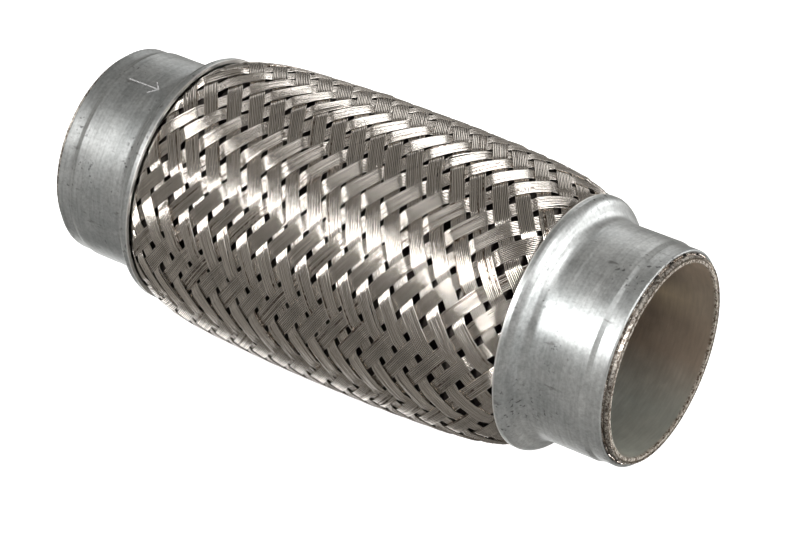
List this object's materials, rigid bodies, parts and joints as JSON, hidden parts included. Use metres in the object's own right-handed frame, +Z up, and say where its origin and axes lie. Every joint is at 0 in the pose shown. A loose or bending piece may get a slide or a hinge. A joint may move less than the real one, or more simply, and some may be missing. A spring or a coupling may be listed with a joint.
{
  "type": "braided flexible pipe coupling",
  "caption": "Flexible pipe coupling: convoluted steel bellows inside a woven wire braid barrel, lined with inner braid, with flared crimped steel end collars.",
  "frame": {"origin": "centre of the inlet bore's mouth, on the pipe axis", "axes": "+X along the pipe axis from inlet to outlet, +Z up"},
  "size_m": [0.15, 0.0672, 0.0672],
  "materials": {
    "collar_steel": "galvanised drawn sheet steel, satin grey",
    "braid_wire": "bright drawn stainless wire",
    "liner_wire": "stainless wire mesh, dull",
    "bellows_steel": "cold rolled stainless sheet",
    "ring_steel": "rolled stainless strip, heat tinted brown grey"
  },
  "bodies": {
    "inlet_end": {"inlet_collar": "collar_steel", "inlet_inner_ring": "ring_steel", "inlet_end_outer_braid": "braid_wire", "inlet_end_bellows_outer_ply": "bellows_steel", "inlet_end_bellows_inner_ply": "bellows_steel", "inlet_end_inner_braid": "liner_wire"},
    "flex_1": {"flex_1_outer_braid": "braid_wire", "flex_1_bellows_outer_ply": "bellows_steel", "flex_1_bellows_inner_ply": "bellows_steel", "flex_1_inner_braid": "liner_wire"},
    "flex_2": {"flex_2_outer_braid": "braid_wire", "flex_2_bellows_outer_ply": "bellows_steel", "flex_2_bellows_inner_ply": "bellows_steel", "flex_2_inner_braid": "liner_wire"},
    "flex_3": {"flex_3_outer_braid": "braid_wire", "flex_3_bellows_outer_ply": "bellows_steel", "flex_3_bellows_inner_ply": "bellows_steel", "flex_3_inner_braid": "liner_wire"},
    "flex_4": {"flex_4_outer_braid": "braid_wire", "flex_4_bellows_outer_ply": "bellows_steel", "flex_4_bellows_inner_ply": "bellows_steel", "flex_4_inner_braid": "liner_wire"},
    "flex_5": {"flex_5_outer_braid": "braid_wire", "flex_5_bellows_outer_ply": "bellows_steel", "flex_5_bellows_inner_ply": "bellows_steel", "flex_5_inner_braid": "liner_wire"},
    "flex_6": {"flex_6_outer_braid": "braid_wire", "flex_6_bellows_outer_ply": "bellows_steel", "flex_6_bellows_inner_ply": "bellows_steel", "flex_6_inner_braid": "liner_wire"},
    "outlet_end": {"outlet_collar": "collar_steel", "outlet_inner_ring": "ring_steel", "outlet_end_outer_braid": "braid_wire", "outlet_end_bellows_outer_ply": "bellows_steel", "outlet_end_bellows_inner_ply": "bellows_steel", "outlet_end_inner_braid": "liner_wire"}
  },
  "joints": [
    {"name": "axial_travel", "type": "slide", "parent": "inlet_end", "child": "flex_1", "axis": [1, 0, 0], "range_m": [-0.003, 0.002], "stiffness_N_per_m": 6000, "deforming": ["inlet_end_outer_braid", "inlet_end_bellows_outer_ply", "inlet_end_bellows_inner_ply", "inlet_end_inner_braid", "flex_1_outer_braid", "flex_1_bellows_outer_ply", "flex_1_bellows_inner_ply", "flex_1_inner_braid"]},
    {"name": "inlet_tilt_vertical", "type": "hinge", "parent": "flex_1", "child": "flex_2", "pos_m": [0.047, 0, 0], "axis": [0, 1, 0], "range_deg": [-8, 8], "stiffness_Nm_per_rad": 12, "deforming": ["flex_1_outer_braid", "flex_1_bellows_outer_ply", "flex_1_bellows_inner_ply", "flex_1_inner_braid", "flex_2_outer_braid", "flex_2_bellows_outer_ply", "flex_2_bellows_inner_ply", "flex_2_inner_braid"]},
    {"name": "inlet_tilt_sideways", "type": "hinge", "parent": "flex_2", "child": "flex_3", "pos_m": [0.061, 0, 0], "axis": [0, 0, 1], "range_deg": [-8, 8], "stiffness_Nm_per_rad": 12, "deforming": ["flex_2_outer_braid", "flex_2_bellows_outer_ply", "flex_2_bellows_inner_ply", "flex_2_inner_braid", "flex_3_outer_braid", "flex_3_bellows_outer_ply", "flex_3_bellows_inner_ply", "flex_3_inner_braid"]},
    {"name": "axial_travel_middle", "type": "slide", "parent": "flex_3", "child": "flex_4", "axis": [1, 0, 0], "range_m": [-0.003, 0.002], "stiffness_N_per_m": 6000, "deforming": ["flex_3_outer_braid", "flex_3_bellows_outer_ply", "flex_3_bellows_inner_ply", "flex_3_inner_braid", "flex_4_outer_braid", "flex_4_bellows_outer_ply", "flex_4_bellows_inner_ply", "flex_4_inner_braid"]},
    {"name": "outlet_tilt_vertical", "type": "hinge", "parent": "flex_4", "child": "flex_5", "pos_m": [0.089, 0, 0], "axis": [0, 1, 0], "range_deg": [-8, 8], "stiffness_Nm_per_rad": 12, "deforming": ["flex_4_outer_braid", "flex_4_bellows_outer_ply", "flex_4_bellows_inner_ply", "flex_4_inner_braid", "flex_5_outer_braid", "flex_5_bellows_outer_ply", "flex_5_bellows_inner_ply", "flex_5_inner_braid"]},
    {"name": "outlet_tilt_sideways", "type": "hinge", "parent": "flex_5", "child": "flex_6", "pos_m": [0.103, 0, 0], "axis": [0, 0, 1], "range_deg": [-8, 8], "stiffness_Nm_per_rad": 12, "deforming": ["flex_5_outer_braid", "flex_5_bellows_outer_ply", "flex_5_bellows_inner_ply", "flex_5_inner_braid", "flex_6_outer_braid", "flex_6_bellows_outer_ply", "flex_6_bellows_inner_ply", "flex_6_inner_braid"]},
    {"name": "axial_travel_outlet", "type": "slide", "parent": "flex_6", "child": "outlet_end", "axis": [1, 0, 0], "range_m": [-0.003, 0.002], "stiffness_N_per_m": 6000, "deforming": ["flex_6_outer_braid", "flex_6_bellows_outer_ply", "flex_6_bellows_inner_ply", "flex_6_inner_braid", "outlet_end_outer_braid", "outlet_end_bellows_outer_ply", "outlet_end_bellows_inner_ply", "outlet_end_inner_braid"]}
  ],
  "couplings": [
    {"joint": "axial_travel_middle", "follows": "axial_travel", "ratio": 1},
    {"joint": "axial_travel_outlet", "follows": "axial_travel", "ratio": 1}
  ]
}
